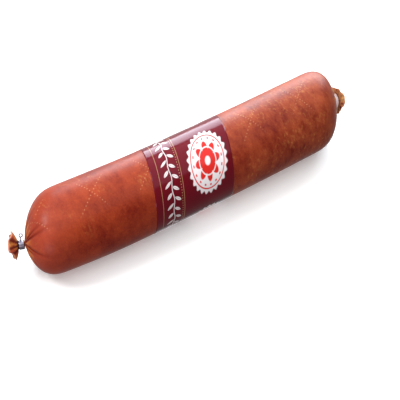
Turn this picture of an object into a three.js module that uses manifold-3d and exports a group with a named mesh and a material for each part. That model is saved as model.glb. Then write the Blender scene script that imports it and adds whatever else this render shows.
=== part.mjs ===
// A cured sausage in a film casing: the filled casing with its gathered ends, a label sleeve
// round the middle, and a crimped metal clip on the neck at each end.
// Millimetres. +X runs along the sausage, +Z is up, and it rests on Z = 0 on a strip pressed flat.
import * as THREE from "three";
import { mergeVertices } from "three/addons/utils/BufferGeometryUtils.js";
import Module from "manifold-3d";

const wasm = await Module();
wasm.setup();

// Driving dimensions of the filled body
const bodyRadius = 30.5;
const neckToNeck = 276.5;
const pressedFlat = 0.8; // how much of the round underside is pressed flat
const bowDepth = 4.3; // the middle bows this far towards -Y
const bowTwist = 2.6; // and the right half swings back more than the left
const leanAcross = 9.5; // the far side of a ring sits this much further along +X than its axis
const leanMoreAtEnds = 2;
const leanUp = 1.4; // the same for the top of a ring, fading to none at the ends
const surfaceUnevenness = 0.16;
const swell = { size: 0.46, at: -80, width: 33 }; // the left half is a little fuller here
const leftEnd = { side: -1, length: 28.2, roundness: 2.6, fullness: 1.63, neckDrop: 1.7, clipWidth: 3.8 };
const rightEnd = { side: 1, length: 27.3, roundness: 2.9, fullness: 2.2, neckDrop: -0.7, clipWidth: 1.9 };

// Driving dimensions of the gathered ends
const neckRadius = 1.9;
const pleatCount = 13;
const pleatDepth = 0.75;
const leftTail = { length: 4.8, saddle: 1.8, radius: 9.8, flare: 0.55, ruffles: 7, wave: 0.1, swing: 0 };
const rightTail = { length: 1.9, saddle: 1.9, radius: 10.7, flare: 0.4, ruffles: 9, wave: 0.04, swing: 0.4 };
const saddleTurn = (133 * Math.PI) / 180; // where round the tail its mouth reaches furthest out
const filmBundle = 1.3; // how thick the bunched film of a tail is, measured along the neck
const clipGap = 0.4; // between the filled end and its clip
const tailGap = 0.3; // between the clip and its tail

// Driving dimensions of the clips, whose widths are with the ends above
const clipWall = 0.85;
const clipClearance = 0.3;
const wireRadius = 0.3;
const eyeRadius = 1.25;
const eyeTilt = Math.PI / 4;
const eyeTurn = -Math.PI / 5;

// Driving dimensions of the label sleeve
const labelLeft = -39.4;
const labelRight = 28.5;
const labelWall = 0.5;
const labelProud = 0.1;
const labelGap = 0.3;

// Fineness of the meshes
const columns = 64;
const endRings = 11;
const tailRings = 6;
const labelRings = 6;
const clipSegments = 28;

const halfLength = neckToNeck / 2;
const axisHeight = bodyRadius - pressedFlat;
const seatDepth = labelWall + labelGap - labelProud;
const neckShare = neckRadius / bodyRadius;
const neckTurn = Math.atan((leanAcross + leanMoreAtEnds) / bodyRadius); // square to the last rings
const wholeTurn = 2 * Math.PI;

const casingFinish = { color: 0x9c3d2a, roughness: 0.38, metalness: 0 };
const labelFinish = { color: 0x6a2233, roughness: 0.22, metalness: 0 };
const clipFinish = { color: 0xb9b6c2, roughness: 0.3, metalness: 0.9 };

// The body's radius at a place along it: the plain radius, the swell, and slow waves in both directions.
function bodyRadiusAt(x, angle) {
  const fromSwell = (x - swell.at) / swell.width;
  const alongWave = Math.sin(x / 23 + 1.3 * Math.sin(angle + 0.7));
  const roundWave = Math.cos(3 * angle + x / 37);
  const waves = 0.6 * alongWave + 0.4 * roundWave;
  return bodyRadius + swell.size * Math.exp(-(fromSwell ** 2)) + surfaceUnevenness * waves;
}

// Where the body's axis lies sideways: a shallow bow that is zero at both necks, plus a slight S.
function bowAt(x) {
  const share = THREE.MathUtils.clamp(x / halfLength, -1, 1);
  return -bowDepth * (1 - share ** 2) + bowTwist * (share - share ** 3);
}

// The rings aren't quite square to the sausage: each leans along X by this much at an angle.
function ringLean(station, angle) {
  const share = (station / halfLength) ** 2;
  const across = leanAcross + leanMoreAtEnds * share;
  return across * Math.cos(angle) + leanUp * (1 - share) * Math.sin(angle);
}

// A point of the round body, sunk below its surface by a depth, never lower than the flat underneath.
function bodyPoint(station, depth, angle) {
  const x = station + ringLean(station, angle);
  const radius = bodyRadiusAt(x, angle) - depth;
  const z = axisHeight + radius * Math.sin(angle);
  return new THREE.Vector3(x, bowAt(x) + radius * Math.cos(angle), Math.max(z, Math.max(depth, 0)));
}

// Radiating pleats: sharp valleys between round backs, uneven in size round the neck.
function pleatValley(angle) {
  const wander = angle + 0.12 * Math.sin(2 * angle + 0.8) + 0.07 * Math.sin(5 * angle);
  const valley = Math.abs(Math.cos((wander * pleatCount) / 2)) ** 3;
  return valley * (0.65 + 0.35 * Math.cos(2 * angle - 0.9));
}

// A point of a rounded end. The radius share runs from the neck's to 1; the meridian is a superellipse.
function endPoint(end, radiusShare, angle) {
  const turn = Math.asin(Math.min(radiusShare ** (end.fullness / 2), 1));
  const fromNeck = end.length * (1 - Math.cos(turn) ** (2 / end.roundness));
  const station = end.side * (halfLength - fromNeck);
  const x = station + radiusShare * ringLean(station, angle);
  const fade = Math.max(1 - radiusShare / 0.75, 0) ** 0.8;
  const valley = pleatDepth * fade * pleatValley(angle) * THREE.MathUtils.smoothstep(radiusShare, 0, 0.2);
  const radius = bodyRadiusAt(x, angle) * radiusShare - 0.3 * valley;
  const drop = end.neckDrop * (1 - radiusShare) ** 2;
  const z = axisHeight - drop + radius * Math.sin(angle);
  return new THREE.Vector3(x - end.side * valley, bowAt(x) + radius * Math.cos(angle), Math.max(z, 0));
}

// The middle of a neck, where the filled end has narrowed to it.
function neckMiddle(end) {
  return new THREE.Vector3(end.side * halfLength, 0, axisHeight - end.neckDrop);
}

// A point given outwards along a neck, across it and above it. Both necks are turned as the last rings lean.
function besideNeck(end, outwards, across, above) {
  const point = new THREE.Vector3(end.side * outwards, across, above);
  return point.applyAxisAngle(new THREE.Vector3(0, 0, 1), -neckTurn).add(neckMiddle(end));
}

// A point of a gathered tail: the bunched film opens out from the neck to a ruffled, saddle-shaped rim.
function tailPoint(end, tail, share, inside, angle) {
  const ruffle = Math.cos(tail.ruffles * angle + 0.8 * Math.sin(3 * angle));
  const opened = neckRadius + (tail.radius - neckRadius) * share ** tail.flare;
  const radius = opened * (1 + tail.wave * share * ruffle);
  const saddle = tail.saddle * Math.cos(2 * (angle - saddleTurn));
  const ragged = 0.5 * Math.sin(3 * angle + 0.4) + 0.3 * ruffle;
  const reach = share * (tail.length + saddle + tail.swing * ruffle + ragged);
  const outwards = clipGap + end.clipWidth + tailGap + reach + inside;
  return besideNeck(end, outwards, radius * Math.cos(angle), radius * Math.sin(angle));
}

// One ring of points round the axis.
function ring(pointAt) {
  return Array.from({ length: columns }, (_, index) => pointAt((wholeTurn * index) / columns));
}

// Joins rings of points into one closed body. The rings run along +X and turn from +Y to +Z,
// and each end closes on a pole; without poles the last ring joins the first.
function closedSkin(rings, poles) {
  const positions = rings.flat();
  const triangles = [];
  const steps = poles ? rings.length - 1 : rings.length;
  for (let row = 0; row < steps; row += 1) {
    const here = row * columns;
    const next = ((row + 1) % rings.length) * columns;
    for (let column = 0; column < columns; column += 1) {
      const turned = (column + 1) % columns;
      triangles.push(here + column, next + turned, next + column);
      triangles.push(here + column, here + turned, next + turned);
    }
  }
  if (poles) {
    const first = positions.push(poles[0]) - 1;
    const last = positions.push(poles[1]) - 1;
    const lastRow = (rings.length - 1) * columns;
    for (let column = 0; column < columns; column += 1) {
      const turned = (column + 1) % columns;
      triangles.push(first, turned, column);
      triangles.push(last, lastRow + column, lastRow + turned);
    }
  }
  const geometry = new THREE.BufferGeometry().setFromPoints(positions);
  geometry.setIndex(triangles);
  geometry.computeVertexNormals();
  return geometry;
}

// The rings of one end, from the tail's mouth to the full body. The right end's are turned round later.
function endStations(end, tail) {
  const insideOut = [0.1, 0.5, 0.95];
  const rings = insideOut.map((share) => ring((angle) => tailPoint(end, tail, share, filmBundle, angle)));
  for (let step = tailRings; step >= 0; step -= 1) {
    const share = (step / tailRings) ** 1.6;
    rings.push(ring((angle) => tailPoint(end, tail, share, 0, angle)));
  }
  for (let step = 0; step <= endRings; step += 1) {
    const share = neckShare + (1 - neckShare) * Math.sin((Math.PI / 2) * (step / endRings));
    rings.push(ring((angle) => endPoint(end, share, angle)));
  }
  return rings;
}

// Even steps from one place to another, both included.
function evenStations(from, to, count) {
  return Array.from({ length: count }, (_, index) => from + ((to - from) * index) / (count - 1));
}

// The rings of the round middle, with a shallow seat for the sleeve.
function middleStations() {
  const margin = labelGap;
  const leftOf = evenStations(-halfLength + leftEnd.length + 9, labelLeft - margin, 5);
  const seat = evenStations(labelLeft - margin, labelRight + margin, labelRings);
  const rightOf = evenStations(labelRight + margin, halfLength - rightEnd.length - 9, 8);
  return [
    ...leftOf.map((x) => ring((angle) => bodyPoint(x, 0, angle))),
    ...seat.map((x) => ring((angle) => bodyPoint(x, seatDepth, angle))),
    ...rightOf.map((x) => ring((angle) => bodyPoint(x, 0, angle))),
  ];
}

// The middle of a tail's mouth, where the bunched film closes inside the ruffles.
function mouthPole(end) {
  return besideNeck(end, clipGap + end.clipWidth + tailGap + filmBundle, 0, 0);
}

function sausageGeometry() {
  const left = endStations(leftEnd, leftTail);
  const right = endStations(rightEnd, rightTail).reverse();
  const poles = [mouthPole(leftEnd), mouthPole(rightEnd)];
  return closedSkin([...left, ...middleStations(), ...right], poles);
}

// The label sleeve: its outside from left to right, then its inside back again.
function labelGeometry() {
  const stations = evenStations(labelLeft, labelRight, labelRings);
  const outside = stations.map((x) => ring((angle) => bodyPoint(x, -labelProud, angle)));
  const inside = stations.map((x) => ring((angle) => bodyPoint(x, labelWall - labelProud, angle)));
  return closedSkin([...outside, ...inside.reverse()], null);
}

// Turns a closed geometry into a solid that can be joined, and back.
function toSolid(geometry) {
  const bare = geometry.clone();
  bare.deleteAttribute("normal");
  bare.deleteAttribute("uv");
  const merged = mergeVertices(bare, 1e-4);
  const vertProperties = Float32Array.from(merged.attributes.position.array);
  const triVerts = Uint32Array.from(merged.index.array);
  return new wasm.Manifold(new wasm.Mesh({ numProp: 3, vertProperties, triVerts }));
}

function toGeometry(solid) {
  const { vertProperties, triVerts } = solid.getMesh();
  const geometry = new THREE.BufferGeometry();
  geometry.setAttribute("position", new THREE.BufferAttribute(vertProperties, 3));
  geometry.setIndex(new THREE.BufferAttribute(triVerts, 1));
  geometry.computeVertexNormals();
  return geometry;
}

// The band squeezed round the neck: a bevelled strip turned into a ring about X.
function clipBand(width) {
  const inner = neckRadius + clipClearance;
  const outer = inner + clipWall;
  const half = width / 2;
  const bevel = clipWall * 0.35;
  const outline = [
    [inner, -half],
    [outer - bevel, -half],
    [outer, -half + bevel],
    [outer, half - bevel],
    [outer - bevel, half],
    [inner, half],
    [inner, -half],
  ];
  const profile = outline.map(([radius, along]) => new THREE.Vector2(radius, along));
  return new THREE.LatheGeometry(profile, clipSegments).rotateZ(-Math.PI / 2);
}

// The strip's end lapped over the band, a curved plate on its outside.
function clipLap(width, from, to) {
  const inner = neckRadius + clipClearance + clipWall * 0.6;
  const outer = inner + clipWall * 0.95;
  const shape = new THREE.Shape();
  shape.absarc(0, 0, outer, from, to, false);
  shape.absarc(0, 0, inner, to, from, true);
  shape.closePath();
  const bevel = clipWall * 0.2;
  const settings = { depth: width * 0.7, bevelSize: bevel, bevelThickness: bevel, bevelSegments: 1 };
  const plate = new THREE.ExtrudeGeometry(shape, { ...settings, curveSegments: 10 });
  return plate.translate(0, 0, -width * 0.35).rotateY(Math.PI / 2);
}

// A wire rising from the clip into a small open eye, which leans back and is turned a little.
function clipEye(foot, eye) {
  const outline = new THREE.Shape();
  outline.absarc(0, 0, wireRadius, 0, wholeTurn, false);
  const loop = new THREE.TorusGeometry(eyeRadius, wireRadius, 8, 20).rotateX(eyeTilt).rotateZ(eyeTurn);
  const lowest = new THREE.Vector3(0, -eyeRadius, 0);
  lowest.applyAxisAngle(new THREE.Vector3(1, 0, 0), eyeTilt);
  lowest.applyAxisAngle(new THREE.Vector3(0, 0, 1), eyeTurn);
  const hold = eye.clone().add(lowest);
  const knee = foot.clone().lerp(hold, 0.5).add(new THREE.Vector3(0, -0.3, 0.3));
  const path = new THREE.CatmullRomCurve3([foot, knee, hold]);
  const wire = new THREE.ExtrudeGeometry(outline, { steps: 8, curveSegments: 4, extrudePath: path });
  return toSolid(wire).add(toSolid(loop.translate(eye.x, eye.y, eye.z)));
}

// One clip, centred on its own place on the neck.
function clipGeometry(width, lapFrom, lapTo, withEye) {
  let clip = toSolid(clipBand(width)).add(toSolid(clipLap(width, lapFrom, lapTo)));
  if (withEye) {
    const foot = new THREE.Vector3(-0.2, 0.6, neckRadius + clipClearance + clipWall * 0.7);
    const eye = new THREE.Vector3(0.4, 2.4, 6.8);
    clip = clip.add(clipEye(foot, eye));
  }
  return toGeometry(clip);
}

function piece(name, geometry, finish) {
  const mesh = new THREE.Mesh(geometry, new THREE.MeshStandardMaterial(finish));
  mesh.name = name;
  return mesh;
}

// A clip in its place on a neck, turned as the neck is.
function clipAt(name, end, geometry) {
  const mesh = piece(name, geometry.rotateZ(-neckTurn), clipFinish);
  mesh.position.copy(besideNeck(end, clipGap + end.clipWidth / 2, 0, 0));
  return mesh;
}

const group = new THREE.Group();
group.add(piece("sausage", sausageGeometry(), casingFinish));
group.add(piece("label", labelGeometry(), labelFinish));
group.add(clipAt("clip_left", leftEnd, clipGeometry(leftEnd.clipWidth, 1.9, 4.1, true)));
group.add(clipAt("clip_right", rightEnd, clipGeometry(rightEnd.clipWidth, -0.9, 1.2, false)));

// The origin is the middle of the whole sausage's footprint.
const footprint = new THREE.Box3().setFromObject(group).getCenter(new THREE.Vector3());
group.position.set(-footprint.x, -footprint.y, 0);
group.updateMatrixWorld(true);

export default group;
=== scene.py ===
# %% [markdown]
# # A cured sausage, dressed over its solids
# A smoked sausage is meat filled into a smooth tube of film. The film is gathered at each end, squeezed by a
# metal clip and cut off, so that a short frill of it stands out past the clip. A printed sleeve runs round
# the middle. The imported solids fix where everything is; this script makes the fine surfaces and finishes.

# %% Load the frame
import math

import bpy
import numpy as np
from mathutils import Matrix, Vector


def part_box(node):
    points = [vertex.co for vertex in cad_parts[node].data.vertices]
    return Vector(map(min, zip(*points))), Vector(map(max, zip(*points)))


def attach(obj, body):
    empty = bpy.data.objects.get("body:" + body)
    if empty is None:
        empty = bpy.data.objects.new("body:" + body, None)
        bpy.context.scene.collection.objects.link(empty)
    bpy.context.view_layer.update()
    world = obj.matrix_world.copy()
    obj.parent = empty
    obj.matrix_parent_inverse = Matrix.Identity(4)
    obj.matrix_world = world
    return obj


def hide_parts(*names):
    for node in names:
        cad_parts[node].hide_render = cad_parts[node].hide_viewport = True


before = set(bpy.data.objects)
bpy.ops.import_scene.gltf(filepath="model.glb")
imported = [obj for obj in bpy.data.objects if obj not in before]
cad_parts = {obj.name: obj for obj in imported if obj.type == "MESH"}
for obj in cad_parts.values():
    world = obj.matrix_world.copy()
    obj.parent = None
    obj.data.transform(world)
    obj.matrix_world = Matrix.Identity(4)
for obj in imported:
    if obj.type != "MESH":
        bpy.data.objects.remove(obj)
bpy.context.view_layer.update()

print("nodes:", sorted(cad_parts))

# %% [markdown]
# ## The driving sizes
# Everything is worked out in millimetres from a few sizes of the real thing, and becomes metres only when a
# mesh is made. A place on the skin has two coordinates: a station along the axis, counted from the middle,
# and an angle round it, which is 0 on the far side, a quarter turn on top and half a turn on the near side.

# %% Sizes of the body, the label, the clips and the tails
MM = 0.001
TURN = 2 * np.pi
body_radius = 30.5
half_length = 138.25
pressed_flat = 0.8
axis_height = body_radius - pressed_flat
bow_depth, bow_twist = 4.3, 2.6
lean_across, lean_more_at_ends, lean_up = 9.5, 2.0, 1.4
unevenness = 0.16
swell_size, swell_at, swell_width = 0.46, -80.0, 33.0
around = TURN * body_radius

neck_radius = 1.9
neck_share = neck_radius / body_radius
neck_turn = math.atan((lean_across + lean_more_at_ends) / body_radius)
label_left, label_right = -39.4, 28.5
clip_gap, clip_wall, clip_clearance, tail_gap = 0.4, 0.85, 0.3, 0.3
saddle_turn = math.radians(133)

left = {
    "side": -1, "length": 28.2, "roundness": 2.6, "fullness": 1.63, "drop": 1.7, "clip": 3.8,
    "amber_reach": 0.6,
}
right = {
    "side": 1, "length": 27.3, "roundness": 2.9, "fullness": 2.2, "drop": -0.7, "clip": 1.9,
    "amber_reach": 0.8,
}
left_tail = {
    "length": 4.8, "saddle": 1.8, "radius": 10.2, "flare": 0.55, "ruffles": 7, "swing": 0.0,
    "wave": 0.10, "folds": 9, "pleat": 0.045, "fold_swing": 0.12, "back": 0.0,
}
right_tail = {
    "length": 1.5, "saddle": 2.6, "radius": 11.0, "flare": 0.4, "ruffles": 9, "swing": 0.1,
    "wave": 0.025, "folds": 17, "pleat": 0.018, "fold_swing": 0.08, "back": 1.0,
}
print(f"the casing is {around:.0f} mm round and {2 * half_length:.0f} mm from neck to neck")

# %% [markdown]
# ## The shape of the skin
# The body could be a curve with a bevel, but the rings of a filled casing aren't round tubes: they lean,
# bow and swell a little, and the ends close as domes. So the skin is a function of station and angle,
# worked out for a whole grid at once.


# %% Radius, bow and lean
def radius_at(x, angle):
    """The plain radius, a bell-shaped swell on the left half and slow sine waves in both directions."""
    swell = swell_size * np.exp(-(((x - swell_at) / swell_width) ** 2))
    along_wave = np.sin(x / 23 + 1.3 * np.sin(angle + 0.7))
    round_wave = np.cos(3 * angle + x / 37)
    return body_radius + swell + unevenness * (0.6 * along_wave + 0.4 * round_wave)


def bow_at(x):
    """A parabola that is zero at both necks, plus a cubic that swings the right half back."""
    share = np.clip(x / half_length, -1, 1)
    return -bow_depth * (1 - share**2) + bow_twist * (share - share**3)


def lean_at(station, angle):
    """How far a point of a ring sits along X from the ring's own station."""
    share = (station / half_length) ** 2
    across = lean_across + lean_more_at_ends * share
    return across * np.cos(angle) + lean_up * (1 - share) * np.sin(angle)


# %% The round middle and the domes
def body_point(station, proud, angle, lowest):
    """A point of the round body, a little proud of its surface and never below the lowest height."""
    x = station + lean_at(station, angle)
    radius = radius_at(x, angle) + proud
    z = np.maximum(axis_height + radius * np.sin(angle), lowest)
    return np.stack(np.broadcast_arrays(x, bow_at(x) + radius * np.cos(angle), z), axis=-1)


def folds_of(end):
    """The end's main folds: where each starts round the neck, how far it bends, its reach and its depth.

    The start and the bend are in degrees here, and the right end's folds are turned against the left's.
    """
    longest = [(126, -13, 0.98, 0.9), (131, -7, 1.08, 1.0), (143, 25, 1.05, 1.0), (93, -16, 0.95, 0.5)]
    on_top = [(60, -6, 0.75, 0.7), (76, 3, 0.85, 0.6), (108, 0, 0.6, 0.7), (117, 4, 0.6, 0.6)]
    near_side = [(152, -4, 0.62, 0.8), (160, 10, 0.8, 0.8), (172, 4, 0.55, 0.7), (186, 8, 0.75, 0.9)]
    below = [(204, -4, 0.6, 0.7), (222, 5, 0.7, 0.8), (243, -6, 0.6, 0.8), (266, 4, 0.8, 0.7)]
    low_behind = [(291, 8, 0.55, 0.9), (315, -5, 0.7, 0.7), (340, 6, 0.6, 0.9)]
    far_side = [(2, -4, 0.75, 0.7), (22, 5, 0.55, 0.8), (41, 3, 0.7, 0.7)]
    turned = 0 if end["side"] < 0 else 34
    return [
        (math.radians(start + turned), math.radians(bend), reach, depth)
        for start, bend, reach, depth in longest + on_top + near_side + below + low_behind + far_side
    ]


def creases(end, angle, radius_share):
    """Sharp valleys that start at the neck, bend a little and fade out at reaches that differ.

    Across, a valley is a bell that widens outwards; where two meet, the deeper one counts.
    """
    total = 0 * angle * radius_share
    for start, bend, reach, depth in folds_of(end):
        turn = angle - start - bend * radius_share
        aside = np.abs(np.sin(turn / 2)) * 2 * body_radius * radius_share
        width = 0.45 + 1.1 * radius_share
        fade = np.clip((1 - radius_share / reach) / 0.55, 0, 1)
        total = np.maximum(total, depth * fade * np.exp(-((aside / width) ** 2)))
    return total


def soft_pleats(angle, radius_share):
    """Broad shallow pleats between the creases, which are gone at three quarters of the full radius."""
    wander = angle + 0.12 * np.sin(2 * angle + 0.8) + 0.07 * np.sin(5 * angle)
    valley = np.abs(np.cos(wander * 6.5)) ** 3 * (0.65 + 0.35 * np.cos(2 * angle - 0.9))
    return valley * np.clip(1 - radius_share / 0.75, 0, 1) ** 0.8


def streaks(angle, radius_share):
    """Fine rays of thinner film that fan out from the neck, made of cosines whose counts share no pattern."""
    wander = angle + 0.25 * radius_share * np.sin(3 * angle + 1.0)
    fine = np.cos(23 * wander + 0.7) + np.cos(31 * wander + 2.1) + np.cos(14 * wander + 4.0)
    return np.clip(0.5 + 0.3 * fine, 0, 1)


def end_station(end, radius_share):
    """The station of a dome's ring, on a meridian that is a superellipse."""
    turn = np.arcsin(np.minimum(radius_share ** (end["fullness"] / 2), 1))
    from_neck = end["length"] * (1 - np.cos(turn) ** (2 / end["roundness"]))
    return end["side"] * (half_length - from_neck)


def end_point(end, radius_share, angle):
    """A point of a dome, with its valleys pressed in; the radius share runs from the neck's to 1."""
    station = end_station(end, radius_share)
    x = station + radius_share * lean_at(station, angle)
    rise = np.clip((radius_share - neck_share) / 0.12, 0, 1)
    valley = rise * (0.75 * creases(end, angle, radius_share) + 0.55 * soft_pleats(angle, radius_share))
    radius = radius_at(x, angle) * radius_share - 0.3 * valley
    z = axis_height - end["drop"] * (1 - radius_share) ** 2 + radius * np.sin(angle)
    parts = x - end["side"] * valley, bow_at(x) + radius * np.cos(angle), np.maximum(z, 0)
    return np.stack(np.broadcast_arrays(*parts), axis=-1)


# %% Places beside a neck
def beside_neck(end, outwards, across, above):
    """Points given outwards along a neck, across it and above it; the necks turn as the last rings lean."""
    x = end["side"] * outwards * math.cos(neck_turn) + across * math.sin(neck_turn)
    y = -end["side"] * outwards * math.sin(neck_turn) + across * math.cos(neck_turn)
    z = axis_height - end["drop"] + above
    return np.stack(np.broadcast_arrays(end["side"] * half_length + x, y, z), axis=-1)


# %% [markdown]
# ## From rings to a mesh
# Every piece is a stack of closed rings. Joining each ring to the next gives four-sided faces, and a pole at
# each end closes the skin. A UV map holds millimetres round and along the skin, so that a print can be drawn
# on it in real sizes; the last column of faces gets its own coordinate, so no seam shows in a pattern.


# %% Find the solids' own place
def shift_to_frame():
    """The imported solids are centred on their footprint, so the middle of the axis isn't at the origin."""
    low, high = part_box("clip_right")
    clip_middle = beside_neck(right, clip_gap + right["clip"] / 2, 0, 0)
    x = (low.x + high.x) / 2 / MM - clip_middle[0]
    low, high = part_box("sausage")
    station = np.linspace(-half_length, half_length, 400)[:, None]
    angle = np.linspace(0, TURN, 361)[None, :]
    away_from_ends = np.abs(station) < half_length - 20
    y = body_point(station, 0, angle, 0)[..., 1][away_from_ends[:, 0]]
    return np.array([x, (low.y + high.y) / 2 / MM - (y.min() + y.max()) / 2, 0])


shift = shift_to_frame()
print("the axis is moved by", np.round(shift, 2), "mm")


# %% Rings to a mesh
MM_PER_UV = 100


def skin(name, rings, poles=None, chart=None, marks=None):
    """Joins rings (ring, column, xyz) into a mesh; without poles the last ring joins the first.

    chart is (millimetres round per column and one more, millimetres along per ring and column).
    marks are named values per ring and column, kept as attributes for the finishes.
    """
    count, columns, _ = rings.shape
    points = (rings.reshape(-1, 3) + shift) * MM
    steps = count - 1 if poles is not None else count
    row = np.repeat(np.arange(steps), columns)
    column = np.tile(np.arange(columns), steps)
    next_row, next_column = (row + 1) % count, (column + 1) % columns
    here, there = row * columns, next_row * columns
    quads = np.stack([here + column, here + next_column, there + next_column, there + column], axis=1)
    corners = [quads.reshape(-1)]
    sizes = [np.full(len(quads), 4)]
    ends = np.arange(columns)
    if poles is not None:
        points = np.vstack([points, (np.array(poles) + shift) * MM])
        first, last = count * columns, count * columns + 1
        final = (count - 1) * columns
        turned = (ends + 1) % columns
        corners.append(np.stack([np.full(columns, first), turned, ends], axis=1).reshape(-1))
        corners.append(np.stack([np.full(columns, last), final + ends, final + turned], axis=1).reshape(-1))
        sizes += [np.full(columns, 3)] * 2
    corners, sizes = np.concatenate(corners), np.concatenate(sizes)
    mesh = bpy.data.meshes.new(name)
    mesh.vertices.add(len(points))
    mesh.vertices.foreach_set("co", points.reshape(-1))
    mesh.loops.add(len(corners))
    mesh.loops.foreach_set("vertex_index", corners)
    mesh.polygons.add(len(sizes))
    mesh.polygons.foreach_set("loop_start", np.cumsum(sizes) - sizes)
    mesh.polygons.foreach_set("use_smooth", np.ones(len(sizes), bool))
    mesh.update(calc_edges=True)
    if chart is not None:
        round_mm, along_mm = chart
        u = np.stack([round_mm[column], round_mm[column + 1], round_mm[column + 1], round_mm[column]], axis=1)
        v = along_mm.reshape(-1)[quads]
        flat = np.stack([u, v], axis=-1).reshape(-1, 2)
        spare = len(corners) - len(flat)
        pole_v = np.repeat([along_mm[0].mean(), along_mm[-1].mean()], spare // 2)
        flat = np.vstack([flat, np.stack([np.zeros(spare), pole_v], axis=1)])
        mesh.uv_layers.new(name="skin_mm").data.foreach_set("uv", (flat / MM_PER_UV).reshape(-1))
    for label, values in (marks or {}).items():
        padded = np.zeros(len(points))
        padded[: count * columns] = values.reshape(-1)
        mesh.attributes.new(label, "FLOAT", "POINT").data.foreach_set("value", padded)
    mesh.validate()
    piece = bpy.data.objects.new(name, mesh)
    bpy.context.collection.objects.link(piece)
    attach(piece, "root")
    print(f"{name}: {len(points)} points, {int((sizes - 2).sum())} triangles")
    return piece


# %% [markdown]
# ## The casing
# The filled casing is the largest surface and carries the pleats, so its rings are dense near the necks and
# a little over a millimetre apart elsewhere. Under the sleeve it is held a little higher off the floor, so
# that the film has room beneath it.

# %% Rings of the casing
casing_columns = 256
middle_count, dome_count, neck_count = 180, 60, 40
angle = np.arange(casing_columns) / casing_columns * TURN
round_mm = np.arange(casing_columns + 1) / casing_columns * around
film_thickness = 0.15


def dome_rings(end):
    """Rings from the neck to the full radius, closest together at the neck, with their marks and stations."""
    steps = np.linspace(0, 1, dome_count)[:, None]
    share = neck_share + (1 - neck_share) * np.sin(np.pi / 2 * steps**1.3)
    rings = end_point(end, share, angle[None, :])
    # The crease depth is kept as a mark that paints shade in the creases.
    crease_shade = creases(end, angle[None, :], share) * np.clip((share - neck_share) / 0.1, 0, 1)
    rays = 0.15 + 0.85 * streaks(angle[None, :], share) ** 1.3
    nearness = np.clip(1 - share / end["amber_reach"], 0, 1) * rays
    return rings, crease_shade, nearness, np.broadcast_to(end_station(end, share), crease_shade.shape)


def neck_rings(end):
    """A narrow tube from inside the clip to the dome, with a thin gathered bead just before the clip."""
    reach = np.linspace(clip_gap + end["clip"] * 0.6, 0.03, neck_count)[:, None]
    bead = 2.0 * np.exp(-(((reach - 0.2) / 0.13) ** 2)) * (1 + 0.12 * np.cos(13 * angle[None, :]))
    radius = neck_radius * (1 + 0.03 * np.cos(13 * angle[None, :])) + bead
    return beside_neck(end, reach, radius * np.cos(angle), radius * np.sin(angle))


def casing_piece():
    """Left neck, left dome, middle, right dome and right neck as one closed skin."""
    first, last = -half_length + left["length"] + 1.5, half_length - right["length"] - 1.5
    stations = np.linspace(first, last, middle_count)
    covered = (stations > label_left) & (stations < label_right)
    lowest = np.where(covered, film_thickness + 0.05, 0.0)[:, None]
    middle = body_point(stations[:, None], 0, angle[None, :], lowest)
    left_dome, left_crease_shade, left_near, left_station = dome_rings(left)
    right_dome, right_crease_shade, right_near, right_station = dome_rings(right)
    left_neck, right_neck = neck_rings(left), neck_rings(right)
    blank = np.zeros((len(stations), casing_columns))
    full = np.ones((neck_count, casing_columns))
    rings = [left_neck, left_dome, middle, right_dome[::-1], right_neck[::-1]]
    # The necks get a crease value of 0.7, which paints shadow on them.
    crease_shade = [0.7 * full, left_crease_shade, blank, right_crease_shade[::-1], 0.7 * full]
    near = [full, left_near, blank, right_near[::-1], full]
    along = [-half_length * full, left_station, blank + stations[:, None]]
    along += [right_station[::-1], half_length * full]
    poles = [left_neck[0].mean(axis=0), right_neck[0].mean(axis=0)]
    marks = {"crease_shade": np.concatenate(crease_shade), "neckward": np.concatenate(near)}
    piece = skin("casing", np.concatenate(rings), poles, (round_mm, np.concatenate(along)), marks)
    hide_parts("sausage")
    return piece


casing = casing_piece()

# %% [markdown]
# ## The label sleeve
# The sleeve is a film shrunk on the casing: a closed shell a fraction of a millimetre thick that follows the
# body, with one overlap where its two ends are glued. Its outside keeps the skin's millimetres for the print.


# %% The sleeve
sleeve_count = 90
lap_start, lap_width, lap_height = 5.15, 0.32, 0.12
sleeve_clearance = 0.03


def label_piece():
    """Outside rings from left to right, then inside rings back, so the shell closes on itself.

    The overlap rises in a step at the film's outer end and sinks slowly to nothing over its width.
    """
    stations = np.linspace(label_left, label_right, sleeve_count)[:, None]
    glued = angle[None, :] - lap_start
    overlap = lap_height * np.clip(glued / 0.02, 0, 1) * np.clip((lap_width - glued) / 0.3, 0, 1)
    outside = body_point(stations, film_thickness + overlap, angle[None, :], 0.0)
    inside = body_point(stations, sleeve_clearance, angle[None, :], film_thickness * 0.3)
    rings = np.concatenate([outside, inside[::-1]])
    along = np.broadcast_to(np.concatenate([stations, stations[::-1]]), rings.shape[:2])
    piece = skin("label_film", rings, None, (round_mm, along))
    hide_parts("label")
    return piece


label = label_piece()

# %% [markdown]
# ## The tails
# Past each clip the gathered film springs open again. It is made as a cup with a thin wall, whose section is
# thrown into folds that deepen towards the ragged mouth. Smaller frills stand inside it: one on the left,
# where the film spreads out in a star, and two on the right, where it curls back into a tight rosette.


# %% One frill
tail_columns, wall_count = 360, 34
tail_wall = 0.2
tail_angle = np.arange(tail_columns) / tail_columns * TURN


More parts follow.
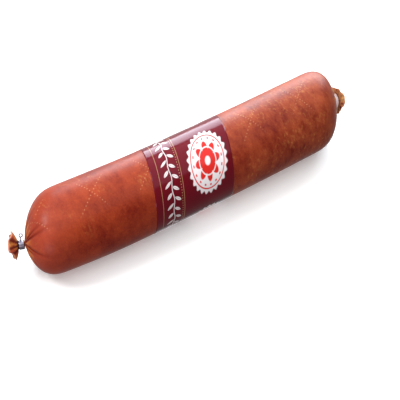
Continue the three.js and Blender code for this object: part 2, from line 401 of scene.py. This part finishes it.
def frill_point(end, tail, share, size, shrink):
    """The frill's wall: share runs from the neck to the rim, size scales it, shrink moves it inwards.

    The radius opens as a power of the share. Ruffles and folds are cosines of the angle, and a saddle
    bends the rim outwards on two sides and back on the two between.
    """
    turned = tail_angle[None, :] + 1.1 * (1 - size)
    ruffle = np.cos(tail["ruffles"] * turned + 0.8 * np.sin(3 * turned))
    fold = np.cos(tail["folds"] * turned + 1.5 * np.sin(2 * turned + 0.6) + 0.5 * share)
    opened = neck_radius + (tail["radius"] * size - neck_radius) * share ** tail["flare"]
    radius = opened * (1 + tail["wave"] * share * ruffle + tail["pleat"] * share**0.5 * fold) - shrink
    saddle = tail["saddle"] * np.cos(2 * (tail_angle - saddle_turn))
    ragged = 0.1 * tail["length"] * (np.sin(3 * turned + 0.4) + 0.6 * ruffle) + tail["fold_swing"] * fold
    reach = share * (tail["length"] + saddle + tail["swing"] * ruffle + ragged) * (0.75 + 0.25 * size)
    start = clip_gap + end["clip"] + tail_gap - 0.9 + 0.9 * np.clip(share / 0.05, 0, 1)
    outwards = start + reach + 2.5 * shrink + 1.2 * (1 - size)
    rings = beside_neck(end, outwards, radius * np.cos(tail_angle), radius * np.sin(tail_angle))
    return rings, 0.75 * fold + 0.25 * ruffle + 0 * share


def frill(name, end, tail, size):
    """A closed cup: up the outside, over the rim and down the inside."""
    steps = np.linspace(0, 1, wall_count)[:, None] ** 1.4
    outside, fold = frill_point(end, tail, steps, size, 0.0)
    inside, _ = frill_point(end, tail, steps, size, tail_wall)
    rings = np.concatenate([outside, inside[::-1]])
    folds = np.concatenate([fold, fold[::-1]])
    rim = np.broadcast_to(np.concatenate([steps, steps[::-1]]), folds.shape)
    back = np.broadcast_to(np.concatenate([tail["back"] + 0 * steps, 0 * steps]), folds.shape)
    poles = [outside[0].mean(axis=0), inside[0].mean(axis=0)]
    if end["side"] < 0:
        rings, folds, rim, back, poles = rings[::-1], folds[::-1], rim[::-1], back[::-1], poles[::-1]
    piece = skin(name, rings, poles, None, {"fold": folds, "rim": rim, "back": back})
    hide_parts("sausage")
    return piece


frills = [
    frill("tail_left", left, left_tail, 1.0),
    frill("tail_left_inner", left, left_tail, 0.62),
    frill("tail_right", right, right_tail, 1.0),
    frill("tail_right_middle", right, right_tail, 0.86),
    frill("tail_right_inner", right, right_tail, 0.66),
]

# %% [markdown]
# ## The clips
# A clip is one strip of soft aluminium bent round the neck until its end laps over its start. A rounded
# section is carried along a spiral that steps outwards by one thickness where it laps.


# %% A section carried along a path
def swept(name, path, ways, section):
    """Carries a closed section (column, 2) along a path, each ring laid on its own two directions."""
    first, second = ways
    offsets = section[None, :, 0:1] * first[:, None, :] + section[None, :, 1:2] * second[:, None, :]
    return skin(name, path[:, None, :] + offsets, [path[0], path[-1]])


def rounded_section(half_width, half_height, count, squareness):
    """A superellipse: a rectangle with well rounded corners."""
    turn = np.arange(count) / count * TURN
    x = np.sign(np.cos(turn)) * np.abs(np.cos(turn)) ** (2 / squareness)
    y = np.sign(np.sin(turn)) * np.abs(np.sin(turn)) ** (2 / squareness)
    return np.stack([half_width * x, half_height * y], axis=1)


# %% The strips
UPWARDS = np.array([0.0, 0.0, 1.0])


def neck_frame(end):
    """The two directions beside a neck: along its clip and level across it."""
    along = np.array([math.cos(neck_turn), -math.sin(neck_turn), 0.0])
    across = np.array([math.sin(neck_turn), math.cos(neck_turn), 0.0])
    return along, across, beside_neck(end, clip_gap + end["clip"] / 2, 0, 0)


def clip_strip(name, node, end, lap_from, lap_turns):
    """The strip winds a little more than once round the neck, stepping out as it laps."""
    turn = np.linspace(0, 1 + lap_turns, 220)
    step_out = np.clip((turn - 0.93) / 0.12, 0, 1)
    step_out = step_out * step_out * (3 - 2 * step_out)
    radius = neck_radius + clip_clearance + clip_wall / 2 + step_out * (clip_wall + 0.03)
    winding = lap_from + turn * TURN
    along, across, middle = neck_frame(end)
    outward = np.cos(winding)[:, None] * across + np.sin(winding)[:, None] * UPWARDS
    path = middle + outward * radius[:, None]
    sideways = np.broadcast_to(along, outward.shape)
    section = rounded_section(end["clip"] / 2, clip_wall / 2, 28, 5)
    piece = swept(name, path, (sideways, outward), section)
    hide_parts(node)
    return piece


# %% The wire eye
def wire_eye(name, node, end):
    """A thin wire that rises from the clip and closes in a small ring.

    The ring is a circle, tilted about its own width and then turned; a bowed leg joins it to the clip.
    """
    wire_radius = 0.46
    foot = np.array([-0.2, 0.6, neck_radius + clip_clearance + clip_wall * 0.7])
    centre = np.array([0.4, 2.4, 6.8])
    ring_radius, tilt, yaw = 1.25, math.pi / 4, -math.pi / 5
    turn = np.linspace(-math.pi / 2, 1.5 * math.pi - 0.12, 60)
    flat = np.stack([ring_radius * np.cos(turn), ring_radius * np.sin(turn), 0 * turn], axis=1)
    tilted = np.stack([flat[:, 0], flat[:, 1] * math.cos(tilt), flat[:, 1] * math.sin(tilt)], axis=1)
    yawed_x = tilted[:, 0] * math.cos(yaw) - tilted[:, 1] * math.sin(yaw)
    yawed_y = tilted[:, 0] * math.sin(yaw) + tilted[:, 1] * math.cos(yaw)
    ring = centre + np.stack([yawed_x, yawed_y, tilted[:, 2]], axis=1)
    rise = np.linspace(0, 1, 14)[:-1, None]
    leg = foot * (1 - rise) + ring[0] * rise + np.array([0, -0.3, 0.3]) * np.sin(math.pi * rise)
    local = np.concatenate([leg, ring])
    along, across, middle = neck_frame(end)
    path = middle + local[:, 0:1] * along + local[:, 1:2] * across + local[:, 2:3] * UPWARDS
    forward = np.gradient(path, axis=0)
    forward /= np.linalg.norm(forward, axis=1)[:, None]
    facing = np.array([math.sin(yaw) * math.sin(tilt), -math.cos(yaw) * math.sin(tilt), math.cos(tilt)])
    facing = facing[0] * along + facing[1] * across + facing[2] * UPWARDS
    first = np.cross(forward, facing)
    first /= np.linalg.norm(first, axis=1)[:, None]
    second = np.cross(forward, first)
    piece = swept(name, path, (first, second), rounded_section(wire_radius, wire_radius, 12, 2))
    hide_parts(node)
    return piece


clips = [
    clip_strip("clip_left_strip", "clip_left", left, 1.9, 0.35),
    wire_eye("clip_left_eye", "clip_left", left),
    clip_strip("clip_right_strip", "clip_right", right, -0.9, 0.33),
]

# %% [markdown]
# ## Shader maths as plain expressions
# A finish is a network of nodes. Wrapping a socket in a small class lets the network be written as sums and
# products: an expression on values adds the Math nodes that work it out.


# %% One socket, with arithmetic
class Wire:
    """One output socket of a material or the world. Arithmetic on it adds Math nodes beside it."""

    def __init__(self, tree, socket=None):
        self.tree = tree
        self.socket = socket

    def node(self, kind, settings=None, sockets=None, output=0):
        """Adds a node: its settings first, then the values or links of its sockets."""
        node = self.tree.nodes.new("ShaderNode" + kind)
        for name, value in (settings or {}).items():
            setattr(node, name, value)
        for name, value in (sockets or {}).items():
            if isinstance(value, Wire):
                self.tree.links.new(value.socket, node.inputs[name])
            else:
                node.inputs[name].default_value = value
        return Wire(self.tree, node.outputs[output])

    def math(self, operation, first, second=0.0, third=0.0, clamp=False):
        """Adds one Math node on up to three values."""
        settings = {"operation": operation, "use_clamp": clamp}
        return self.node("Math", settings, {0: first, 1: second, 2: third})

    def __add__(self, other):
        return self.math("ADD", self, other)

    __radd__ = __add__

    def __sub__(self, other):
        return self.math("SUBTRACT", self, other)

    def __rsub__(self, other):
        return self.math("SUBTRACT", other, self)

    def __mul__(self, other):
        return self.math("MULTIPLY", self, other)

    __rmul__ = __mul__

    def __truediv__(self, other):
        return self.math("DIVIDE", self, other)

    def __pow__(self, other):
        return self.math("POWER", self, other)

    def __abs__(self):
        return self.math("ABSOLUTE", self)

    def clamped(self):
        """The value held between 0 and 1."""
        return self.math("ADD", self, 0.0, clamp=True)

    def sine(self):
        return self.math("SINE", self)

    def cosine(self):
        return self.math("COSINE", self)

    def near_zero(self, width, soft):
        """1 where the value is within width of zero, falling to 0 over the soft distance."""
        return ((width + soft - abs(self)) / soft).clamped()

    def repeated(self, period):
        """The distance to the nearest whole multiple of a period, with its sign."""
        shifted = self.math("FLOORED_MODULO", self + period / 2, period)
        return shifted - period / 2

    def both(self, other):
        """Where one mask and the other are."""
        return self.math("MINIMUM", self, other)

    def either(self, other):
        """Where one mask or the other is."""
        return self.math("MAXIMUM", self, other)

    def blend(self, colour, other, share):
        """A colour that turns into the other one by a share."""
        settings = {"data_type": "RGBA", "clamp_factor": True}
        return self.node("Mix", settings, {0: share, 6: colour, 7: other}, output=2)

    def noise(self, where, scale, detail=2.0, roughness=0.5, distortion=0.0):
        """Smooth noise from 0 to 1; the scale is in waves per unit of the place."""
        amounts = {"Scale": scale, "Detail": detail, "Roughness": roughness, "Distortion": distortion}
        return self.node("TexNoise", {}, {"Vector": where, **amounts})


# %% A new finish
def rgb(red, green, blue):
    """An opaque colour in linear light."""
    return (red, green, blue, 1.0)


def new_finish(name, **constants):
    """A material with one Principled shader; the constants go straight on its sockets."""
    material = bpy.data.materials.new(name)
    material.use_nodes = True
    shader = material.node_tree.nodes["Principled BSDF"]
    for socket, value in constants.items():
        shader.inputs[socket.replace("_", " ")].default_value = value
    return material, Wire(material.node_tree), shader


def feed(start, shader, **links):
    """Links varying values to the shader's sockets."""
    for socket, wire in links.items():
        start.tree.links.new(wire.socket, shader.inputs[socket.replace("_", " ")])


def wear(finish, *pieces):
    """Puts a finish on pieces and says which."""
    for piece in pieces:
        piece.data.materials.append(finish)
    print(f"{finish.name}: on", ", ".join(piece.name for piece in pieces))


def mark(start, name):
    """A value that was kept on the mesh as an attribute."""
    return start.node("Attribute", {"attribute_name": name}, output=2)


def skin_chart(start):
    """Millimetres round and along the skin, from the UV map."""
    chart = start.node("UVMap", {"uv_map": "skin_mm"})
    split = start.node("SeparateXYZ", {}, {0: chart})
    along = Wire(start.tree, split.socket.node.outputs[1])
    return split * MM_PER_UV, along * MM_PER_UV


def place_in_mm(start, x_scale=1, y_scale=1, z_scale=1):
    """Object coordinates in millimetres, stretched along an axis where its scale is small."""
    place = start.node("TexCoord", output=3)
    scale = (1000 * x_scale, 1000 * y_scale, 1000 * z_scale)
    return start.node("Mapping", {"vector_type": "POINT"}, {"Vector": place, "Scale": scale})


# %% [markdown]
# ## The casing's finish
# Smoked casing is red-brown and satin. Under the film the smoke has coloured the meat unevenly, with fine
# golden flecks that run round the sausage, and the film carries small crossed lines of pale dots. Noise
# stretched round the sausage gives the flecks, and the dots are worked out from the skin's millimetres.
# The creases and the necks get painted shade in brown, and the left dome a painted highlight in rosier red.


# %% Crossed dotted marks
cross_round, cross_along = 54.0, -85.0
crosses_round, cross_pitch_along = 2, 45.5
arm_slopes, arm_reach, dot_pitch, dot_radius = (0.75, -0.8), 13.0, 2.6, 0.25


def dotted_crosses(round_at, along_at):
    """Marks at a regular pitch: two dotted arms that cross, drawn as dots that repeat along each arm."""
    across = (round_at - cross_round).repeated(around / crosses_round)
    down = (along_at - cross_along).repeated(cross_pitch_along)
    total = None
    for slope in arm_slopes:
        from_arm = (down - slope * across) / math.hypot(1, slope)
        on_arm = (across + slope * down) / math.hypot(1, slope)
        dot = on_arm.repeated(dot_pitch)
        distance = (dot * dot + from_arm * from_arm) ** 0.5
        dots = distance.near_zero(dot_radius, 0.4).both(on_arm.near_zero(arm_reach, 6.0))
        total = dots if total is None else total.either(dots)
    return total


# %% Smoked meat with golden flecks
dark_red, warm_red, orange_red = rgb(0.15, 0.008, 0.003), rgb(0.36, 0.048, 0.013), rgb(0.35, 0.064, 0.021)
# The rosy red is a painted highlight, laid over the left dome.
painted_dome_highlight, fleck_gold = rgb(0.40, 0.070, 0.040), rgb(0.60, 0.25, 0.07)
dome_highlight_from, dome_highlight_over = -98, 30


def smoked_colour(start, along_at, rightward, cloud, mottle, grain):
    """Noise of three sizes turns dark red into warm red; flecks show where fine and broad noise meet."""
    fleck_field = start.noise(place_in_mm(start, 1, 0.58, 0.58), 0.52, 3, 0.5, 0.3)
    fleck_patch = start.noise(place_in_mm(start), 0.045, 2, 0.5)
    patches = ((fleck_patch - 0.53 + 0.17 * rightward) * 4).clamped()
    flecks = ((fleck_field - 0.53) * 4).clamped() * patches
    contrast = 0.8 + 0.6 * rightward
    shade = (0.52 + 1.8 * (cloud - 0.5) + contrast * (mottle - 0.5) + 0.95 * (grain - 0.5)).clamped()
    colour = start.blend(dark_red, start.blend(warm_red, orange_red, rightward), shade)
    # Painted highlight: the left dome turns rosier from this station outwards.
    dome_highlight_share = ((dome_highlight_from - along_at) / dome_highlight_over).clamped()
    colour = start.blend(colour, painted_dome_highlight, 0.45 * dome_highlight_share)
    return start.blend(colour, fleck_gold, 0.5 * flecks)


# %% The casing
# The crease brown is painted shade, laid in the creases and on the necks.
amber, painted_crease_shade, dot_gold = rgb(0.72, 0.27, 0.05), rgb(0.17, 0.012, 0.005), rgb(0.72, 0.36, 0.18)
orange_from, orange_over = -60, 150


def casing_finish():
    """The smoked colour, amber film near the necks, painted shade in creases and necks, then the worn dots.
    """
    material, start, shader = new_finish("casing_film", IOR=1.46, Specular_IOR_Level=0.18)
    round_at, along_at = skin_chart(start)
    cloud = start.noise(place_in_mm(start), 0.04, 3, 0.55)
    mottle = start.noise(place_in_mm(start, 1, 0.5, 0.5), 0.24, 3, 0.5, 0.3)
    grain = start.noise(place_in_mm(start, 1, 0.7, 0.7), 0.95, 3, 0.6)
    rightward = ((along_at - orange_from) / orange_over).clamped()
    colour = smoked_colour(start, along_at, rightward, cloud, mottle, grain)
    crease_shade = mark(start, "crease_shade")
    thin_film = (mark(start, "neckward") * 3.4 * (1 - crease_shade)).clamped()
    colour = start.blend(colour, amber, 0.75 * thin_film)
    # Painted shade: brown in the creases and on the necks.
    colour = start.blend(colour, painted_crease_shade, (crease_shade * 1.3).clamped())
    worn = ((cloud + grain - 0.75) * 3).clamped()
    colour = start.blend(colour, dot_gold, 0.36 * (dotted_crosses(round_at, along_at) * worn))
    bump_height = 0.5 * grain + 0.8 * mottle + 0.5 * cloud
    bump = start.node("Bump", {}, {"Strength": 0.12, "Distance": 0.0006, "Height": bump_height})
    satin = 0.37 + 0.16 * (mottle - 0.5) + 0.05 * rightward
    feed(start, shader, Base_Color=colour, Roughness=satin, Normal=bump)
    return material


wear(casing_finish(), casing)

# %% [markdown]
# ## The label's print
# The sleeve is glossy wine-coloured film with a plain generic print: a row of white oval medallions, each
# with a red flower, round its right part, a white leaf sprig that runs round its left part, and fine gold
# lines. An image would blur close up, so each motif is a formula in millimetres on the skin.


# %% A medallion with a flower
medallion_along, medallion_half_along, medallion_half_round = 7.5, 17.5, 25.0
medallion_round, medallion_count = 127 / 360 * around, 3
scallops, petal_pairs, bead_count = 24, 4, 16


def medallion(start, round_at, along_at):
    """Ovals at a regular pitch: a scalloped edge, a ring, a flower with eight petals and a round heart."""
    across = (round_at - medallion_round).repeated(around / medallion_count) / medallion_half_round
    down = (along_at - medallion_along) / medallion_half_along
    distance = (across * across + down * down) ** 0.5
    bearing = start.math("ARCTAN2", down, across)
    scallop = 0.955 + 0.045 * (bearing * scallops).cosine()
    inside = ((scallop - distance) * 25).clamped()
    ring = (distance - 0.8).near_zero(0.012, 0.02)
    petal_edge = 0.36 + 0.26 * abs((bearing * petal_pairs).cosine())
    petals = ((petal_edge - distance) * 25).clamped()
    notch = (distance - 0.40).near_zero(0.012, 0.02)
    heart = ((0.15 - distance) * 25).clamped()
    bead_row = (distance - 0.69).near_zero(0.018, 0.02)
    beads = bead_row.both(((bearing * bead_count).cosine() * 3 - 1.2).clamped())
    red = (petals - heart.either(0.9 * notch)).clamped().either(ring).either(beads)
    return inside, red


# %% A leaf sprig
sprig_along, leaves_a_side = -24.5, 24
leaf_half_length, leaf_half_width, leaf_off_stem = 3.5, 1.25, 3.1


def sprig(round_at, along_at):
    """A wavy stem with a leaf at each side in turn; a leaf lies between two parabolas, turned on its stem."""
    pitch = around / leaves_a_side
    middle = sprig_along + 0.5 * (round_at * (TURN / pitch / 2)).sine()
    from_stem = along_at - middle
    shape = from_stem.near_zero(0.22, 0.15)
    for side in (1, -1):
        across = (round_at + (pitch / 2 if side > 0 else 0)).repeated(pitch)
        down = side * from_stem - leaf_off_stem
        lengthwise = 0.62 * across + 0.785 * down
        sideways = 0.785 * across - 0.62 * down
        leaf = leaf_half_width - leaf_half_width * (lengthwise / leaf_half_length) ** 2 - abs(sideways)
        vein = abs(sideways).near_zero(0.06, 0.1)
        shape = shape.either(((leaf * 4).clamped() - 0.8 * vein).clamped())
    return shape


# %% Fine gold lines
gold_lines_along, gold_dots_along, gold_dot_pitch = (-15.6, -33.6), -17.2, 2.03


def gold_print(round_at, along_at):
    """A thin line at each side of the sprig, and a row of dots beside the right one."""
    first, second = [(along_at - place).near_zero(0.16, 0.12) for place in gold_lines_along]
    dot_row = (along_at - gold_dots_along).near_zero(0.22, 0.15)
    dots = dot_row.both(((round_at * TURN / gold_dot_pitch).cosine() * 2).clamped())
    return first.either(second).either(dots)


# %% The label
def label_finish():
    """Wine-coloured film, then gold, leaves, medallions and their red flowers, each over the one before."""
    gloss = {"IOR": 1.5, "Specular_IOR_Level": 0.20, "Specular_Tint": rgb(1.0, 0.70, 0.90)}
    material, start, shader = new_finish("label_print", **gloss)
    round_at, along_at = skin_chart(start)
    white, red = medallion(start, round_at, along_at)
    leaves = sprig(round_at, along_at)
    cloud = start.noise(place_in_mm(start), 0.03, 2, 0.5)
    wine = start.blend(rgb(0.105, 0.002, 0.006), rgb(0.150, 0.004, 0.011), cloud)
    ink = start.noise(place_in_mm(start), 2.2, 2, 0.5)
    colour = start.blend(wine, rgb(0.42, 0.25, 0.12), 0.75 * gold_print(round_at, along_at))
    colour = start.blend(colour, rgb(0.80, 0.76, 0.76), leaves * 0.95)
    colour = start.blend(colour, rgb(0.83, 0.80, 0.82), white)
    colour = start.blend(colour, rgb(0.66, 0.025, 0.018), white.both(red))
    ripple = start.noise(place_in_mm(start, 0.25, 1, 1), 0.09, 2, 0.5)
    bump = start.node("Bump", {}, {"Strength": 0.15, "Distance": 0.001, "Height": ripple + 0.05 * ink})
    feed(start, shader, Base_Color=colour, Roughness=0.11 + 0.08 * ink, Normal=bump)
    return material


wear(label_finish(), label)

# %% [markdown]
# ## The frills and the metal
# Empty casing is amber, with painted shade in its folds and in the throats, and a painted highlight where the
# cut edge catches the light. The right tail is seen from behind, where light shines through its thin film, so
# its throat and its far side are painted pale and glow a little, which is painted light, and painted shade
# runs along the inner edge of its band. The clips are soft aluminium with fine rubbing marks.


# %% Folded film
# The fold brown is painted shade for the inward folds of the film.
painted_fold_shade, film_red, film_amber = rgb(0.13, 0.012, 0.006), rgb(0.44, 0.080, 0.036), rgb(0.64, 0.30, 0.05)
# The first gold, on the right tail's back, is partly the film's tone and partly painted light; the second is
# a painted highlight.
gold_tone_and_painted_light, painted_far_highlight = rgb(0.86, 0.56, 0.27), rgb(0.76, 0.49, 0.23)
# Where the painted highlight on the right tail's far side starts, and how many millimetres it takes to come
# in.
far_light_from, far_light_over = 1.0, 5


def far_side_highlight(start, back):
    """Painted highlight on the right tail's back: 1 on its far side, falling to 0 near the line of its neck.
    """
    y = start.node("SeparateXYZ", {}, {0: place_in_mm(start)}, output=1)
    neck_y = float((beside_neck(right, clip_gap, 0, 0) + shift)[1])
    return ((y - neck_y - far_light_from) / far_light_over).clamped() * back


def film_colour(start, cloud, back, far_highlight_share):
    """Red and amber patches, painted shade where the film folds in, golden where seen from behind, partly
    painted light.
    """
    patch = start.noise(place_in_mm(start), 0.14, 2, 0.5)
    fold_share = 1.1 * mark(start, "fold") * (1 - 0.6 * back)
    # Painted shade: the film turns brown where its folds turn inwards.
    ridge = (0.48 + 0.12 * back + fold_share + 1.6 * (cloud - 0.5)).clamped()
    film = start.blend(film_red, film_amber, ((patch - 0.46) * 7).clamped())
    colour = start.blend(painted_fold_shade, film, ridge)
    # The right tail's back turns golden: partly the film's own tone, partly painted light shining through it.
    colour = start.blend(colour, gold_tone_and_painted_light, (0.15 + 1.6 * (cloud - 0.42)).clamped() * back)
    # Painted highlight: a pale gold on the far side of the right tail's back.
    return start.blend(colour, painted_far_highlight, 0.6 * far_highlight_share)


# %% The frills
# The dark throat is painted shadow deep in the cups; the pale throat is painted light in the right tail's
# throat.
painted_throat_shadow, painted_throat_light = rgb(0.05, 0.005, 0.003), rgb(0.93, 0.84, 0.88)
# The brown here is painted shade along the band's inner edge; the pink is a painted highlight on the cut rim.
painted_edge_shade, painted_rim_highlight = rgb(0.14, 0.03, 0.012), rgb(0.74, 0.31, 0.21)


def frill_finish():
    """Folded film between a throat and a cut rim; only the right tail's back has a painted glow of light
    through it.
    """
    gloss = {"IOR": 1.48, "Specular_IOR_Level": 0.5, "Emission_Strength": 0.3}
    material, start, shader = new_finish("gathered_film", **gloss)
    rim, back = mark(start, "rim"), mark(start, "back")
    cloud = start.noise(place_in_mm(start), 0.4, 3, 0.6)
    far_highlight_share = far_side_highlight(start, back)
    colour = film_colour(start, cloud, back, far_highlight_share)
    # Painted shade: a brown line along the inner edge of the right tail's band.
    edge_shade_share = (rim - 0.2).near_zero(0.03, 0.07) * back
    colour = start.blend(colour, painted_edge_shade, 0.8 * edge_shade_share)
    # Painted light and shade in the throat: near black in the cups, near white on the right tail's back.
    painted_throat = start.blend(painted_throat_shadow, painted_throat_light, back)
    colour = start.blend(painted_throat, colour, ((rim - 0.07) * 12).clamped())
    # Painted highlight: the cut rim turns pale pink where it catches the light.
    rim_highlight_share = (((rim - 0.84) * 7).clamped() * (0.5 + cloud) * (1 - 0.6 * back)).clamped()
    colour = start.blend(colour, painted_rim_highlight, 0.75 * rim_highlight_share)
    bump = start.node("Bump", {}, {"Strength": 0.3, "Distance": 0.0005, "Height": cloud})
    # Painted light: the right tail's back glows, most in its throat and on its far side.
    glow_share = back * (1 - 0.7 * (rim * 2).clamped() + 0.65 * far_highlight_share).clamped()
    painted_glow = start.blend(rgb(0, 0, 0), colour, glow_share)
    satin = 0.28 + 0.2 * cloud
    feed(start, shader, Base_Color=colour, Roughness=satin, Normal=bump, Emission_Color=painted_glow)
    return material


wear(frill_finish(), *frills)


# %% The metal
def metal_finish():
    """Grey aluminium, whose noise is stretched along the strips like rubbing marks."""
    material, start, shader = new_finish("clip_aluminium", Metallic=1.0)
    rub = start.noise(place_in_mm(start, 0.3, 2, 2), 1.2, 3, 0.6)
    spots = start.noise(place_in_mm(start), 0.9, 2, 0.5)
    colour = start.blend(rgb(0.16, 0.15, 0.20), rgb(0.31, 0.29, 0.37), (0.2 + rub).clamped())
    bump = start.node("Bump", {}, {"Strength": 0.25, "Distance": 0.0002, "Height": rub + 0.5 * spots})
    feed(start, shader, Base_Color=colour, Roughness=0.22 + 0.25 * spots, Normal=bump)
    return material


wear(metal_finish(), *clips)

# %% [markdown]
# ## The stage
# The sausage lies on a plain white floor under a wide overhead light. A low panel behind it draws the pale
# band along its top, a small one draws the soft spot on the left dome, and a faint low one from the left
# lifts the underside there. A white floor would throw so much light up that the dark near side washes out, so
# the sausage neither gathers light from the floor nor mirrors it. A soft pale lobe of the surround stands in
# for the floor behind and keeps the haze on the far edge.


# %% The floor
def floor_piece():
    """A white sheet far larger than the view; a little light of its own keeps the shadow pale."""
    reach = 6.0
    corners = [(-reach, -reach, 0), (reach, -reach, 0), (reach, reach, 0), (-reach, reach, 0)]
    mesh = bpy.data.meshes.new("floor")
    mesh.from_pydata(corners, [], [(0, 1, 2, 3)])
    piece = bpy.data.objects.new("floor", mesh)
    bpy.context.collection.objects.link(piece)
    settings = {"Specular_IOR_Level": 0.2, "Roughness": 0.8, "Emission_Strength": 0.22}
    material, start, shader = new_finish("white_sweep", Emission_Color=rgb(1, 1, 1), **settings)
    paper = start.noise(start.node("TexCoord", output=3), 30.0, 2, 0.5)
    feed(start, shader, Base_Color=start.blend(rgb(0.87, 0.87, 0.875), rgb(0.89, 0.89, 0.89), paper))
    piece.data.materials.append(material)
    piece.visible_diffuse = False
    piece.visible_glossy = False
    print(f"floor: {2 * reach:.0f} m wide")


floor_piece()


# %% Lights
def soft_light(name, place, aim, size, power, colour=(1.0, 1.0, 1.0)):
    """A rectangular light at a place, aimed at a point."""
    lamp = bpy.data.lights.new(name, "AREA")
    lamp.shape = "RECTANGLE"
    lamp.size, lamp.size_y = size
    lamp.energy = power
    lamp.color = colour
    light = bpy.data.objects.new(name, lamp)
    bpy.context.collection.objects.link(light)
    direction = np.array(aim) - np.array(place)
    flat = math.hypot(direction[0], direction[1])
    light.rotation_euler = (math.atan2(flat, -direction[2]), 0, math.atan2(-direction[0], direction[1]))
    light.location = place
    light.visible_camera = False
    print(f"{name}: {power} W")


soft_light("overhead", (0.1, 0.15, 1.6), (0.1, 0.15, 0), (3.0, 3.0), 46)
soft_light("back_panel", (0.47, 0.45, 0.25), (0.2, 0, 0.03), (0.8, 0.38), 9.6, (0.82, 0.93, 1.0))
soft_light("top_left", (-0.63, 0.25, 0.85), (-0.1, 0, 0.04), (0.34, 0.34), 5.6)
soft_light("low_left", (-0.62, -0.5, 0.14), (-0.1, 0, 0.01), (0.5, 0.2), 1.6, (1.0, 0.78, 0.80))

# %% The surround
lobe_middle, lobe_edge, lobe_steepness = (0.496, 0.759, -0.422), 0.69, 5


def studio_world():
    """A grey surround with one soft pale lobe, low at the back: the nearer a direction, the paler."""
    world = bpy.data.worlds.new("studio")
    bpy.context.scene.world = world
    world.use_nodes = True
    start = Wire(world.node_tree)
    looking = start.node("TexCoord", output=0)
    towards = start.node("VectorMath", {"operation": "DOT_PRODUCT"}, {0: looking, 1: lobe_middle}, output=1)
    lobe = ((towards - lobe_edge) * lobe_steepness).clamped()
    surround = start.blend(rgb(0.30, 0.30, 0.30), rgb(0.85, 0.85, 0.86), lobe)
    background = world.node_tree.nodes["Background"]
    world.node_tree.links.new(surround.socket, background.inputs["Color"])


studio_world()
bpy.context.scene.view_settings.view_transform = "Standard"

# %% [markdown]
# ## The camera
# The camera looks down on the sausage from the front left. Its place was found by fitting the outline in the
# photograph: a direction, a distance, a focal length in pixels and a small sideways aim.

# %% Camera
azimuth, elevation, distance = math.radians(-33.18), math.radians(46.0), 0.9
focal_pixels, image_width, sensor = 1160.7, 400, 36.0
aim_right, aim_up = 9.24 * MM, -3.80 * MM
back = np.array([
    math.sin(azimuth) * math.cos(elevation),
    -math.cos(azimuth) * math.cos(elevation),
    math.sin(elevation),
])
rightward = np.array([math.cos(azimuth), math.sin(azimuth), 0.0])
upward = np.cross(back, rightward)
eye = shift * MM + back * distance + rightward * aim_right + upward * aim_up

lens = bpy.data.cameras.new("camera")
lens.lens = focal_pixels / image_width * sensor
lens.sensor_width = sensor
camera = bpy.data.objects.new("camera", lens)
bpy.context.collection.objects.link(camera)
camera.location = eye
camera.rotation_euler = (math.pi / 2 - elevation, 0, azimuth)
bpy.context.scene.camera = camera
print(f"the lens is {lens.lens:.1f} mm")
